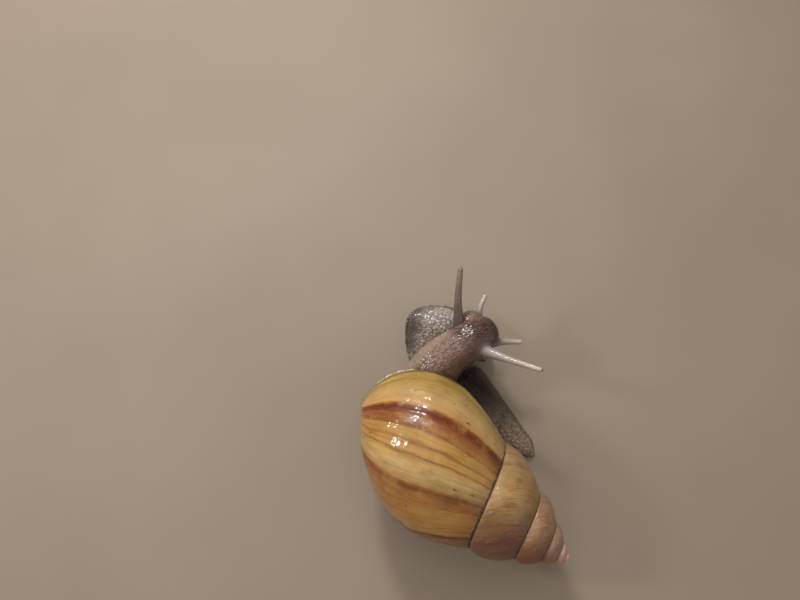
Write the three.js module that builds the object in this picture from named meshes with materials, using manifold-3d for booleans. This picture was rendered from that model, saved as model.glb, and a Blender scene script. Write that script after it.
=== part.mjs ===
// A giant African land snail (Lissachatina fulica), life size, in millimetres, +Z up.
// The rear foot crawls along +X on the floor. The shell lies over the foot's left side, its
// apex towards -X and its mouth facing down. The front of the body is raised, leans to the
// snail's right and turns back that way, with the head held up and all four feelers out.
import * as THREE from 'three';
import { mergeVertices } from 'three/addons/utils/BufferGeometryUtils.js';
import Module from 'manifold-3d';

const wasm = await Module();
wasm.setup();

const { degToRad, lerp, smoothstep, clamp } = THREE.MathUtils;

// ---------------------------------------------------------------- driving dimensions

const GAP = 0.3; // between pieces that touch

// Along the shell's axis, distances run from the point where the spire's cone would close
// towards the base. A place round the shell is counted in turns back from the lip.
const SHELL = {
  apex: new THREE.Vector3(-26.9, 21.3, 18.2), // where the cone would close
  axisPoint: new THREE.Vector3(52.6, 25.0, 18.4), // another point of the axis, near the base
  lipLift: degToRad(6), // how far the lip stands above the level of the axis
  turns: 4.625,
  tip: 2.8, // the rounded top of the spire
  sutureEnd: 1.5, // the sutures close on this distance,
  sutureReach: 34.9, // the newest lies this far beyond it,
  sutureDecay: 0.625, // and each turn back brings them closer by this rate
  girth: 23.1, // radius of the newest whorl at the lip
  girthDecay: 0.24,
  girthDecayGrowth: 0.06,
  widestShare: 0.82, // of the way from one suture to the next
  lipSag: 4.4, // the whorl is widest this much nearer the suture at the lip
  base: 78.0, // end of the lip
  baseRise: 25, // how far the base climbs in the last turn
  pillarRadius: 1.6,
  pillarTaper: 0.3,
  pillarEnd: 76.2,
};

// Facets of the shell: round a turn, from suture to suture, on to the base, down the pillar.
const FACETS = { turn: 32, band: 7, base: 6, pillar: 2 };

const APERTURE = {
  rim: 1.1, // thickness of the lip
  wall: 0.8, // kept clear of the whorl inside
  pillarRoom: 3.2, // kept clear round the pillar
  depth: 2.4, // how deep the mantle sits in the mouth
  proud: 0.5, // how far it stands out of the mouth
};

// The sole's midline is straight from the tail tip, then bends to the right.
const FOOT = {
  straight: 30.2,
  bendRadius: 14,
  bendAngle: degToRad(66),
  length: 58.75,
  liftStart: 33, // the front leaves the floor here
  liftEnd: 52,
  lift: 11,
  lean: degToRad(28), // of the raised front, to the right
  halfWidth: 14.3,
  tailHalfWidth: 2.3,
  tailSpread: 0.325, // half width gained for each millimetre from the tail tip
  tailRound: 3.2, // length of the rounded tail tip
  spreadBlend: 1.2,
  waist: 3.2, // how much narrower each side is at the bend
  waistAt: 39.5,
  waistLength: 5.5,
  flare: 3.4, // how much wider each side is near the front
  flareAt: 53,
  flareLength: 7,
  frontRound: 14.5, // length of the rounded front
  frontCut: 0.97,
  noseLength: 5, // the back rounds down to the front edge over this
  noseCut: 0.97,
  margin: 0.9, // thickness of the edge
  height: 7.6, // of the back over the sole
  tailHeight: 2.2,
  tailRise: 14,
  hump: 3, // under the shell
  humpAt: 30,
  humpLength: 11,
  facets: 12,
};

// Sections of the column that carries the shell: height, place, half length, half width.
const STALK = [
  { z: 3, x: 25, y: 0.5, halfX: 12.5, halfY: 7.6 },
  { z: 8, x: 28, y: 2.6, halfX: 14, halfY: 7.4 },
  { z: 13, x: 31, y: 6.4, halfX: 13, halfY: 7.4 },
  { z: 17, x: 32, y: 10, halfX: 13, halfY: 7.8 },
  { z: 21, x: 32, y: 11, halfX: 13, halfY: 7.8 },
];

// From inside the column, out under the lip, to the end of the snout.
const NECK = {
  path: [
    [39.5, 8, 11], [40.4, 2, 15.5], [39.4, -4.5, 19],
    [37.6, -9.6, 21], [36, -14.2, 21.4], [33.1, -20.1, 19.9],
  ],
  rootRadius: 7.6,
  headRadius: 6.4,
  flatness: 0.94, // height over width
  snoutTaper: 0.18,
  headStart: 0.665, // share of the path where the head begins
  snoutRound: 0.14,
};

const LIPS = { x: 34.8, y: -18.4, z: 16.4, half: [1.7, 1.1, 1.5], apart: 1.25, splay: 0.35 };

// The head's left shoulder, a low swelling between the two left feelers.
const SHOULDER = { x: 39.7, y: -16.1, z: 20.4, half: [5, 3.6, 3.2], turn: -0.89 };

// Each feeler's path, from its root inside the head to its tip, and its radii.
const FEELERS = {
  upper_left: {
    path: [[40.8, -11.5, 22.3], [46.2, -17.1, 27.6], [51.9, -25.2, 33]],
    radii: { root: 2.6, middle: 0.82, end: 0.85 },
  },
  upper_right: {
    path: [[34.2, -10.9, 22.6], [24.2, -12.9, 26.2], [13.9, -15.6, 30]],
    radii: { root: 2.8, middle: 0.67, end: 0.72 },
  },
  lower_left: {
    path: [[37.6, -17.6, 19.4], [40.7, -22, 19.8], [42.1, -27, 20.2]],
    radii: { root: 2.1, middle: 0.7, end: 0.76 },
  },
  lower_right: {
    path: [[31.6, -15.9, 19.6], [28.2, -18.8, 19.9], [24.2, -21.7, 20.2]],
    radii: { root: 2.1, middle: 0.7, end: 0.76 },
  },
};
const FEELER = {
  rootTaper: 3.2,
  bulbStart: 0.84,
  bulbEnd: 0.95,
  roundStart: 0.955,
  facets: 10,
  cut: 0.007, // half a cut between two lengths, as a share of the path
};

// The lengths that each feeler is divided into, as shares of its path.
const UPPER_LENGTHS = { base: [0, 0.48], shaft: [0.48, 0.84], tip: [0.84, 0.965], eye: [0.965, 1] };
const LOWER_LENGTHS = { base: [0, 0.6], tip: [0.6, 1] };

// ---------------------------------------------------------------- solids and lofts

const vector = (row) => new THREE.Vector3(...row);
const bell = (distance, width) => Math.exp(-((distance / width) ** 2));

/** A closed three.js geometry as a solid. */
function toSolid(geometry) {
  const bare = geometry.clone();
  bare.deleteAttribute('normal');
  bare.deleteAttribute('uv');
  const merged = mergeVertices(bare, 1e-5);
  return new wasm.Manifold(new wasm.Mesh({
    numProp: 3,
    vertProperties: new Float32Array(merged.attributes.position.array),
    triVerts: new Uint32Array(merged.index.array),
  }));
}

/** The largest body of a solid, as a three.js geometry; cuts leave a few crumbs behind. */
function toGeometry(solid) {
  const [largest] = solid.decompose().sort((a, b) => b.volume() - a.volume());
  const { vertProperties, triVerts } = largest.getMesh();
  const geometry = new THREE.BufferGeometry();
  geometry.setAttribute('position', new THREE.BufferAttribute(new Float32Array(vertProperties), 3));
  geometry.setIndex(new THREE.BufferAttribute(new Uint32Array(triVerts), 1));
  geometry.computeVertexNormals();
  return geometry;
}

function indexed(points, index) {
  const geometry = new THREE.BufferGeometry().setFromPoints(points);
  geometry.setIndex(index);
  return geometry;
}

/** A closed skin over rings of equal length, each end closed by a fan to its centre. */
function loft(rings) {
  const size = rings[0].length;
  const points = rings.flat();
  const index = [];
  for (let i = 0; i + 1 < rings.length; i++) {
    for (let j = 0; j < size; j++) {
      const a = i * size + j;
      const b = i * size + ((j + 1) % size);
      index.push(a, b, a + size, b, b + size, a + size);
    }
  }
  for (const first of [true, false]) {
    const ring = first ? 0 : rings.length - 1;
    const centre = new THREE.Vector3();
    rings[ring].forEach((point) => centre.addScaledVector(point, 1 / size));
    points.push(centre);
    for (let j = 0; j < size; j++) {
      const a = ring * size + j;
      const b = ring * size + ((j + 1) % size);
      index.push(points.length - 1, first ? b : a, first ? a : b);
    }
  }
  return indexed(points, index);
}

/** An ellipse in the plane of two directions. */
function ellipse(centre, side, up, halfSide, halfUp, count) {
  const ring = [];
  for (let j = 0; j < count; j++) {
    const angle = (2 * Math.PI * j) / count;
    const point = centre.clone().addScaledVector(side, halfSide * Math.cos(angle));
    ring.push(point.addScaledVector(up, halfUp * Math.sin(angle)));
  }
  return ring;
}

/** A round body along a part of a curve; radii(t) gives its half width and half height. */
function sweep(curve, radii, { from = 0, to = 1, steps, count, grow = 0 }) {
  const rings = [];
  for (let i = 0; i <= steps; i++) {
    const t = lerp(from, to, i / steps);
    const along = curve.getTangentAt(t);
    const side = new THREE.Vector3(0, 0, 1).cross(along).normalize();
    const up = along.clone().cross(side);
    const [halfSide, halfUp] = radii(t);
    const centre = curve.getPointAt(t);
    if (i === 0) centre.addScaledVector(along, -grow);
    if (i === steps) centre.addScaledVector(along, grow);
    rings.push(ellipse(centre, side, up, halfSide + grow, halfUp + grow, count));
  }
  return toSolid(loft(rings));
}

// ---------------------------------------------------------------- shell

const suture = (n) => SHELL.sutureEnd + SHELL.sutureReach * Math.exp(-SHELL.sutureDecay * n);
const bandHeight = (n) => suture(n - 1) - suture(n);
const girth = (n) => SHELL.girth * Math.exp(-n * (SHELL.girthDecay + SHELL.girthDecayGrowth * n));

/** Where along the axis the whorl is widest. */
function widest(n) {
  return suture(n) + SHELL.widestShare * bandHeight(n) - SHELL.lipSag * Math.exp(-5 * n);
}

/** Height of the whorl below its widest place: down to the base on the last turn. */
function lowerHeight(n) {
  if (n <= 1) return SHELL.base - SHELL.baseRise * n * n - widest(n);
  return bandHeight(n) * (0.71 + 0.42 * Math.exp(4 - 4 * n));
}

/** Radius of the whorl below its widest place. */
function lowerRadius(n, distance) {
  const t = clamp((distance - widest(n)) / lowerHeight(n), 0, 1);
  const bluntness = n <= 1 ? 0.42 + 0.5 * n : 0.5 + 0.42 * Math.exp(4 - 4 * n);
  return SHELL.pillarRadius + (girth(n) - SHELL.pillarRadius) * (1 - t * t) ** bluntness;
}

/** Radius of the whorl from its suture down to its base. */
function whorlRadius(n, distance) {
  if (distance >= widest(n)) return lowerRadius(n, distance);
  const start = lowerRadius(n + 1, suture(n));
  const t = (distance - suture(n)) / (widest(n) - suture(n));
  const fullness = 1.6 + 0.3 * Math.min(n, 1);
  return start + (girth(n) - start) * (1 - (1 - t) ** fullness);
}

/** A point of the shell in its own frame, where the axis is Z and the apex is up. */
function shellPoint(n, distance, radius) {
  const angle = 2 * Math.PI * n;
  return new THREE.Vector3(radius * Math.cos(angle), radius * Math.sin(angle), -distance);
}

/** The rows down one column, from its suture to the next, and on the last turn to the base. */
function shellColumn(n) {
  const column = [];
  for (let i = 0; i <= FACETS.band; i++) {
    const distance = suture(n) + bandHeight(n) * (i / FACETS.band) ** 1.2;
    column.push({ distance, radius: whorlRadius(n, distance) });
  }
  if (n > 1) return column;
  const foot = widest(n) + lowerHeight(n);
  for (let i = 1; i <= FACETS.base; i++) {
    const distance = lerp(suture(n - 1), foot, Math.sin((Math.PI / 2) * (i / FACETS.base)));
    column.push({ distance, radius: whorlRadius(n, distance) });
  }
  for (let i = 1; i < FACETS.pillar; i++) {
    const share = i / FACETS.pillar;
    const radius = SHELL.pillarRadius * (1 - SHELL.pillarTaper * share);
    column.push({ distance: lerp(foot, SHELL.pillarEnd, share), radius });
  }
  return column;
}

/** The whole shell as one spiral band, closed at its mouth and its apex. */
function shellSolid(grow) {
  const points = [];
  const columns = [];
  const last = Math.round(SHELL.turns * FACETS.turn);
  for (let j = 0; j <= last; j++) {
    columns.push(shellColumn(j / FACETS.turn).map(({ distance, radius }, i) => {
      if (i === FACETS.band && j >= FACETS.turn) return columns[j - FACETS.turn][0];
      points.push(shellPoint(j / FACETS.turn, distance, radius + grow));
      return points.length - 1;
    }));
  }
  const base = points.push(new THREE.Vector3(0, 0, -SHELL.pillarEnd - grow)) - 1;
  const apex = points.push(new THREE.Vector3(0, 0, -SHELL.tip + grow)) - 1;

  const index = [];
  for (let j = 0; j < last; j++) {
    const left = columns[j];
    const right = columns[j + 1];
    const rows = j < FACETS.turn ? left.length - 1 : FACETS.band;
    for (let i = 0; i < rows; i++) {
      index.push(left[i], left[i + 1], right[i], right[i], left[i + 1], right[i + 1]);
    }
    if (j < FACETS.turn) index.push(left[rows], base, right[rows]);
  }
  const top = columns.slice(last - FACETS.turn).map((column) => column[0]);
  top.push(...columns[last].slice(1, FACETS.band));
  top.forEach((a, i) => index.push(apex, a, top[(i + 1) % top.length]));

  const wall = columns[FACETS.turn].slice(FACETS.band + 1).reverse();
  const mouth = [...columns[0], base, ...wall];
  const flat = mouth.map((k) => new THREE.Vector2(points[k].x, points[k].z));
  for (const [a, b, c] of THREE.ShapeUtils.triangulateShape(flat, [])) {
    const area = flat[b].clone().sub(flat[a]).cross(flat[c].clone().sub(flat[a]));
    index.push(mouth[a], ...(area > 0 ? [mouth[b], mouth[c]] : [mouth[c], mouth[b]]));
  }
  return toSolid(indexed(points, index));
}

/** The outline of the shell's mouth in the plane of the lip, drawn in by an inset. */
function apertureShape(inset) {
  const from = suture(0) + 3.4 * APERTURE.rim + 2 * inset;
  const to = SHELL.base - 2 * APERTURE.rim - inset;
  const steps = 20;
  const outline = [];
  for (let i = 0; i <= steps; i++) {
    const distance = lerp(from, to, Math.sin((Math.PI / 2) * (i / steps)));
    outline.push(new THREE.Vector2(whorlRadius(0, distance) - APERTURE.rim - inset, distance));
  }
  for (let i = steps; i >= 0; i -= 2) {
    const distance = lerp(from, to - 2 * APERTURE.rim, i / steps);
    const wall = Math.max(whorlRadius(1, distance) + APERTURE.wall, APERTURE.pillarRoom);
    outline.push(new THREE.Vector2(wall + inset, distance));
  }
  return new THREE.Shape(outline);
}

/** A plug of the mouth's outline, from one depth behind the plane of the lip to another. */
function aperturePlug(inset, front, back) {
  const options = { depth: back - front, bevelEnabled: false, steps: 1 };
  const plug = new THREE.ExtrudeGeometry(apertureShape(inset), options);
  const [x, y, z] = [[1, 0, 0], [0, 0, -1], [0, 1, 0]].map(vector);
  plug.applyMatrix4(new THREE.Matrix4().makeBasis(x, y, z));
  plug.translate(0, front, 0);
  return toSolid(plug);
}

/** Takes the shell's own frame to the snail's. */
function shellPlacement() {
  const axis = SHELL.apex.clone().sub(SHELL.axisPoint).normalize();
  const right = new THREE.Vector3(0, 0, 1).cross(axis).normalize();
  const rise = axis.clone().cross(right);
  const lip = right.multiplyScalar(Math.cos(SHELL.lipLift));
  lip.addScaledVector(rise, Math.sin(SHELL.lipLift));
  return new THREE.Matrix4().makeBasis(lip, axis.clone().cross(lip), axis).setPosition(SHELL.apex);
}

const placement = shellPlacement().elements;
const place = (solid) => solid.transform(placement);

/** All the room that the shell and its mantle take, with the gap round them. */
function shellRoom() {
  const grown = shellSolid(GAP);
  const behindLip = grown.rotate([0, 0, -1.2]);
  const mantle = aperturePlug(0, -APERTURE.proud - GAP, APERTURE.depth);
  return place(grown.add(behindLip).add(mantle));
}

// ---------------------------------------------------------------- foot

/** The sole's midline at a distance from the tail tip: where it is and where it heads. */
function midline(s) {
  const turn = clamp((s - FOOT.straight) / FOOT.bendRadius, 0, FOOT.bendAngle);
  const beyond = Math.max(0, s - FOOT.straight - FOOT.bendRadius * FOOT.bendAngle);
  const heading = new THREE.Vector3(Math.cos(turn), -Math.sin(turn), 0);
  const centre = new THREE.Vector3(
    Math.min(s, FOOT.straight) + FOOT.bendRadius * Math.sin(turn),
    FOOT.bendRadius * (Math.cos(turn) - 1),
    FOOT.lift * smoothstep(s, FOOT.liftStart, FOOT.liftEnd),
  );
  return { centre: centre.addScaledVector(heading, beyond), heading };
}

function soleHalfWidth(s) {
  const tail = FOOT.tailHalfWidth + FOOT.tailSpread * s;
  const blend = FOOT.spreadBlend;
  const spread = -blend * Math.log(Math.exp(-tail / blend) + Math.exp(-FOOT.halfWidth / blend));
  const waist = FOOT.waist * bell(s - FOOT.waistAt, FOOT.waistLength);
  const flare = FOOT.flare * bell(s - FOOT.flareAt, FOOT.flareLength);
  const tip = Math.sqrt(clamp(s / FOOT.tailRound, 0.1, 1));
  const front = clamp(1 - (FOOT.length - s) / FOOT.frontRound, 0, FOOT.frontCut);
  return (spread - waist + flare) * tip * Math.sqrt(1 - front ** 2.1);
}

function footHeight(s) {
  const back = FOOT.height - (FOOT.height - FOOT.tailHeight) * Math.exp(-s / FOOT.tailRise);
  const hump = FOOT.hump * bell(s - FOOT.humpAt, FOOT.humpLength);
  const tip = Math.sqrt(clamp(s / FOOT.tailHeight, 0.15, 1));
  const end = 1 - 0.45 * smoothstep(s, FOOT.length - 8, FOOT.length);
  const nose = clamp(1 - (FOOT.length - s) / FOOT.noseLength, 0, FOOT.noseCut);
  return (back + hump) * tip * end * Math.sqrt(1 - nose ** 2);
}

/** One ring of the foot: a flat sole, a thin margin and an arched back. */
function footRing(s, grow) {
  const { centre, heading } = midline(s);
  const lean = FOOT.lean * smoothstep(s, FOOT.liftStart, FOOT.liftEnd);
  const left = new THREE.Vector3(-heading.y, heading.x, 0).multiplyScalar(Math.cos(lean));
  left.z = Math.sin(lean);
  const up = heading.clone().cross(left);
  const halfWidth = soleHalfWidth(s) + grow;
  const height = footHeight(s) + grow;
  const margin = Math.min(FOOT.margin, 0.3 * height);
  const at = (side, rise) => (
    centre.clone().addScaledVector(left, side * halfWidth).addScaledVector(up, rise));
  const ring = [];
  for (let j = 0; j <= FOOT.facets; j++) {
    const side = Math.cos((Math.PI * j) / FOOT.facets);
    ring.push(at(side, margin + (height - margin) * (1 - Math.abs(side) ** 2.2) ** 0.8));
  }
  ring.push(...[-0.94, -0.4, 0.4, 0.94].map((side) => at(side, -grow)));
  return ring;
}

function footSolid(from, to, steps, grow = 0) {
  const rings = [];
  for (let i = 0; i <= steps; i++) rings.push(footRing(lerp(from, to, i / steps), grow));
  return toSolid(loft(rings));
}

// ---------------------------------------------------------------- column, neck, head

function stalkSolid(grow = 0) {
  const [side, up] = [[1, 0, 0], [0, 1, 0]].map(vector);
  return toSolid(loft(STALK.map(({ x, y, z, halfX, halfY }) => (
    ellipse(new THREE.Vector3(x, y, z), side, up, halfX + grow, halfY + grow, 20)))));
}

const neckCurve = new THREE.CatmullRomCurve3(NECK.path.map(vector));

/** Half width and half height of the neck and head. */
function neckRadii(t) {
  const taper = lerp(NECK.rootRadius, NECK.headRadius, smoothstep(t, 0.25, 0.6));
  const snout = 1 - NECK.snoutTaper * smoothstep(t, 0.72, 0.93);
  const round = clamp(1 - (1 - t) / NECK.snoutRound, 0, 1);
  const half = taper * snout * Math.sqrt(Math.max(0.02, 1 - round ** 2.4));
  return [half, half * NECK.flatness];
}

const neckSweep = (options) => sweep(neckCurve, neckRadii, { count: 18, ...options });

/** A rounded lump, turned about the vertical. */
function cushion({ x, y, z, half, turn }, grow = 0) {
  const lump = new THREE.SphereGeometry(1, 12, 8);
  lump.scale(...half.map((size) => size + grow));
  lump.rotateZ(turn);
  lump.translate(x, y, z);
  return toSolid(lump);
}

/** The lips: two small cushions side by side under the front of the snout. */
function lipsSolid() {
  const [left, right] = [-1, 1].map((side) => (
    cushion({ ...LIPS, x: LIPS.x + side * LIPS.apart, turn: side * LIPS.splay })));
  return left.add(right);
}

/** Radius of a feeler along its length: a wide root, a slim shaft and a rounded bulb. */
function feelerRadius({ root, middle, end }, t) {
  const shaft = middle + (root - middle) * Math.exp(-FEELER.rootTaper * t);
  const bulb = lerp(shaft, end, smoothstep(t, FEELER.bulbStart, FEELER.bulbEnd));
  const round = clamp((t - FEELER.roundStart) / (1 - FEELER.roundStart), 0, 1);
  return bulb * Math.sqrt(Math.max(0.12, 1 - round ** 2));
}

/** One length of a feeler, with half a cut taken off each end that meets another length. */
function feelerLength(feeler, [from, to]) {
  const curve = new THREE.CatmullRomCurve3(feeler.path.map(vector));
  const radii = (t) => new Array(2).fill(feelerRadius(feeler.radii, t));
  return sweep(curve, radii, {
    from: from === 0 ? 0 : from + FEELER.cut,
    to: to === 1 ? 1 : to - FEELER.cut,
    steps: to === 1 ? 6 : 5,
    count: FEELER.facets,
  });
}

// ---------------------------------------------------------------- assembly

const FINISHES = {
  shell: { color: 0xc49a4a, roughness: 0.3 },
  mantle: { color: 0xb9a888, roughness: 0.5 },
  foot: { color: 0x6f655c, roughness: 0.55 },
  neck: { color: 0x7d6156, roughness: 0.5 },
  feeler: { color: 0x9c938c, roughness: 0.45 },
  eye: { color: 0x1d1412, roughness: 0.2 },
};

const group = new THREE.Group();

function add(name, solid, finish) {
  const material = new THREE.MeshStandardMaterial({ metalness: 0, ...FINISHES[finish] });
  const mesh = new THREE.Mesh(toGeometry(solid), material);
  mesh.name = name;
  group.add(mesh);
}

function addShell() {
  const whole = place(shellSolid(0)).subtract(place(aperturePlug(0, -1, APERTURE.depth)));
  add('shell', whole.trimByPlane([0, 0, 1], 0), 'shell');
  add('mantle_collar', place(aperturePlug(GAP, -APERTURE.proud, APERTURE.depth - GAP)), 'mantle');
}

function addFoot(room) {
  const tail = footSolid(0, 14 - GAP / 2, 7);
  const rear = footSolid(14 + GAP / 2, 32 - GAP / 2, 5);
  const middle = footSolid(32 + GAP / 2, 48 - GAP / 2, 7);
  const front = footSolid(48 + GAP / 2, FOOT.length, 9);
  const lengths = { tail, foot_rear: rear, foot_middle: middle, foot_front: front };
  for (const [name, solid] of Object.entries(lengths)) add(name, solid.subtract(room), 'foot');
}

function addNeckAndHead(room) {
  const cut = 0.5 * GAP / neckCurve.getLength();
  const neck = neckSweep({ to: NECK.headStart - cut, steps: 12 });
  const head = neckSweep({ from: NECK.headStart + cut, steps: 10 }).add(cushion(SHOULDER));
  add('neck', neck.subtract(room).subtract(cushion(SHOULDER, GAP)), 'neck');
  add('head', head.subtract(room), 'neck');
}

function addFeelers(room) {
  for (const [name, feeler] of Object.entries(FEELERS)) {
    const upper = name.startsWith('upper');
    for (const [part, span] of Object.entries(upper ? UPPER_LENGTHS : LOWER_LENGTHS)) {
      const isEye = part === 'eye';
      const solid = feelerLength(feeler, span).subtract(room);
      add(isEye ? `eye_${name.slice(6)}` : `feeler_${name}_${part}`, solid, isEye ? 'eye' : 'feeler');
    }
  }
}

const forShell = shellRoom();
const forFoot = footSolid(0, FOOT.length, 26, GAP);
const forStalk = stalkSolid(GAP);
const forHead = neckSweep({ from: 0.02, steps: 26, grow: GAP }).add(cushion(SHOULDER, GAP));

addShell();
addFoot(forShell);
add('visceral_stalk', stalkSolid().subtract(forShell).subtract(forFoot), 'foot');
addNeckAndHead(forShell.add(forFoot).add(forStalk));
add('lips', lipsSolid().subtract(forHead).subtract(forFoot), 'neck');
addFeelers(forHead.add(forFoot));

// The origin is under the middle of the whole snail, on the floor.
const bounds = new THREE.Box3().setFromObject(group, true);
const middle = bounds.getCenter(new THREE.Vector3());
group.position.set(-middle.x, -middle.y, -bounds.min.z);

export default group;
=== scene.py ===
"""A giant African land snail, life size: one wet tubercled skin, a streaked shell, two eyes.

Shapes are worked out in millimetres in the snail's own frame: the tail tip is at the origin,
the rear foot crawls along +X, +Y is the snail's left and the floor is at z = 0. row_mesh()
takes them to the row's frame, in metres.
"""

import itertools
import math

import bpy
import numpy as np
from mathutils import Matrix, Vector
from mathutils.bvhtree import BVHTree
from mathutils.geometry import tessellate_polygon


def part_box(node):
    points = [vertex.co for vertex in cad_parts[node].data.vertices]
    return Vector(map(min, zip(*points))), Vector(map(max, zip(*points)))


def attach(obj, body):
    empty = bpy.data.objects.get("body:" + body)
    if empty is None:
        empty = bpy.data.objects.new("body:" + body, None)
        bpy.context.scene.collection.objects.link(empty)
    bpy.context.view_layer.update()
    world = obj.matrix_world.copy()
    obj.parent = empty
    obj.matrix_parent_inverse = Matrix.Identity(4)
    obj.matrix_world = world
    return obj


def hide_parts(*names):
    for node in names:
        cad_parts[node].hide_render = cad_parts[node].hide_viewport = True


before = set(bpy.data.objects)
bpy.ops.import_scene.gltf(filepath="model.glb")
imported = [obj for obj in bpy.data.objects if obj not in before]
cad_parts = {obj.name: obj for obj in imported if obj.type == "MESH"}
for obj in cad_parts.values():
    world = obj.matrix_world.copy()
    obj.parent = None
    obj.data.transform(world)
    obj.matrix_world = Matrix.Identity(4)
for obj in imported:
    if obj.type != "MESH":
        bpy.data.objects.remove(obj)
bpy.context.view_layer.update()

MM = 0.001
tail_low, tail_high = (np.array(corner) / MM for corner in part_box("tail"))
TAIL_TIP = np.array([tail_low[0], (tail_low[1] + tail_high[1]) / 2, 0])

# ---------------- driving dimensions

# Along the shell's axis, distances run from the point where the spire's cone would close
# towards the base. A place round the shell is counted in turns back from the lip.
APEX = np.array([-26.9, 21.3, 18.2])
AXIS_POINT = np.array([52.6, 25.0, 18.4])
LIP_LIFT = math.radians(6)  # how far the lip stands above the level of the axis
TURNS = 4.625
SPIRE_TIP = 2.8
SUTURE_END = 1.5  # the sutures close on this distance,
SUTURE_REACH = 34.9  # the newest lies this far beyond it,
SUTURE_DECAY = 0.625  # and each turn back brings them closer by this rate
GIRTH = 23.1  # radius of the newest whorl at the lip
GIRTH_DECAY = 0.24
GIRTH_DECAY_GROWTH = 0.06
WIDEST_SHARE = 0.82  # of the way from one suture to the next
LIP_SAG = 4.4  # the whorl is widest this much nearer the suture at the lip
SHELL_BASE = 78.0
BASE_RISE = 25  # how far the base climbs in the last turn
PILLAR_RADIUS = 1.6
PILLAR_POINT = 0.01  # radius at the pillar's end
PILLAR_END = 76.2
LIP_THICKNESS = 0.9

# The mantle's collar: for each ring, turns in from the lip and distance in from the walls.
COLLAR = [(0.03, 0.3), (0.012, 0.3), (0.003, 0.35), (0.0, 0.55), (-0.002, 0.95), (-0.0035, 1.6)]
COLLAR_TOP = 3.8  # from the suture to the collar
LIP_ROOM = 2.2  # from the collar to the base, along the lip
WALL_ROOM = 4.4  # and along the inner wall
PILLAR_ROOM = 2.4
BEADS_START = 60
BEADS_END = 77.3
BEAD_RADIUS = 0.56

# The sole's midline is straight from the tail tip, then bends to the right.
FOOT_STRAIGHT = 30.2
BEND_RADIUS = 14
BEND_ANGLE = math.radians(66)
BEND_LENGTH = BEND_RADIUS * BEND_ANGLE
FOOT_LENGTH = 58.75
LIFT_START = 33
LIFT_END = 52
LIFT = 11
LEAN = math.radians(28)
HALF_WIDTH = 14.3
TAIL_HALF_WIDTH = 2.3
TAIL_SPREAD = 0.325  # half width gained for each millimetre from the tail tip
SPREAD_BLEND = 1.2
TAIL_ROUND = 3.2  # length of the rounded tail tip
FRONT_ROUND = 14.5  # length of the rounded front
NOSE_LENGTH = 5  # the back rounds down to the front edge over this
END_CUT = 0.97  # the share of a rounded end that is kept
MARGIN = 0.9  # thickness of the edge
BACK_HEIGHT = 7.6
TAIL_DROP = 5.4  # how much lower the tail is,
TAIL_RISE = 14  # and how quickly the back rises from it
BACK_ROUND = 2.2
FRONT_THINNING = 0.45
FRONT_THIN_LENGTH = 8
# Swellings along the foot: place, reach and amount.
WAIST = (39.5, 5.5, 3.2)
FLARE = (53, 7, 3.4)
HUMP = (30, 11, 3)

# Sections of the column that carries the shell: height, place, half length, half width.
STALK = np.array([
    [3, 25, 0.5, 12.5, 7.6],
    [8, 28, 2.6, 14, 7.4],
    [13, 31, 6.4, 13, 7.4],
    [17, 32, 10, 13, 7.8],
    [21, 32, 11, 13, 7.8],
])

# From inside the column, out under the lip, to the end of the snout.
NECK_PATH = [
    (39.5, 8, 11), (40.4, 2, 15.5), (39.4, -4.5, 19),
    (37.6, -9.6, 21), (36, -14.2, 21.4), (33.1, -20.1, 19.9),
]
NECK_RADIUS = 7.6
HEAD_RADIUS = 6.4
NECK_FLATNESS = 0.94  # height over width
SNOUT_TAPER = 0.18
SNOUT_ROUND = 0.14  # share of the path that the round end takes

LIP_CENTRE = np.array([34.8, -18.4, 16.4])
LIP_APART = np.array([1.25, 0, 0])
LIP_HALF = (1.7, 1.1, 1.5)
LIP_SPLAY = 0.35

# The head's left shoulder, a low swelling between the two left feelers.
SHOULDER_CENTRE = (38.8, -14.9, 21.2)
SHOULDER_HALF = (6.1, 4.8, 4)
SHOULDER_TURN = -0.89

# Each feeler's path, its radius at the root, in the middle and at the tip, and its paleness.
FEELERS = {
    # The upper left feeler's low paleness paints it darker, as painted shade.
    "upper_left": ([(40.8, -11.5, 22.3), (46.2, -17.1, 27.6), (51.9, -25.2, 33)], 2.6, 0.82, 0.85, 0.1),
    "upper_right": ([(34.2, -10.9, 22.6), (24.2, -12.9, 26.2), (13.9, -15.6, 30)], 2.8, 0.67, 0.72, 1),
    "lower_left": ([(37.6, -17.6, 19.4), (40.7, -22, 19.8), (42.1, -27, 20.2)], 2.1, 0.7, 0.76, 0.9),
    "lower_right": ([(31.6, -15.9, 19.6), (28.2, -18.8, 19.9), (24.2, -21.7, 20.2)], 2.1, 0.7, 0.76, 1),
}
FEELER_TAPER = 3.2
BULB_START = 0.84
BULB_END = 0.95
FEELER_ROUND = 0.955  # where the round end begins

EYE_RADIUS = 0.4
EYE_SINK = 0.36
EYE_LIFT = 0.12
HEAD_PORE = np.array([40.3, -9.9, 26.4])  # the dark pore behind the upper left feeler
PORE_RADIUS = 0.75

SKIN_VOXEL = 0.19
SKIN_BLEND = 0.7  # how softly the skin of one body passes into the next
COARSE_TUBERCLE = 1.1  # on the foot
COARSE_DEPTH = 0.22
FINE_TUBERCLE = 0.66  # on the neck and head
FINE_DEPTH = 0.14
FLUTE = 1.25  # from one flute of the foot's fringe to the next
GROOVE_RISE = 1.75  # height of the groove above the fringe
GROOVE_DEPTH = 0.22
RING = 0.9  # from one ring of a feeler to the next
WRINKLE = 2.1  # from one wrinkle across the neck's root to the next

# ---------------- plain mathematics


def unit(vectors):
    return vectors / np.linalg.norm(vectors, axis=-1, keepdims=True)


def circle(count):
    """Evenly spaced angles round a circle."""
    return np.linspace(0, 2 * np.pi, count, endpoint=False)


def crosswise(along):
    """The level direction and the upward one across a heading."""
    side = unit(np.cross([0, 0, 1], along))
    return side, np.cross(along, side)


def mix(a, b, share):
    return a + (b - a) * share


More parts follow.
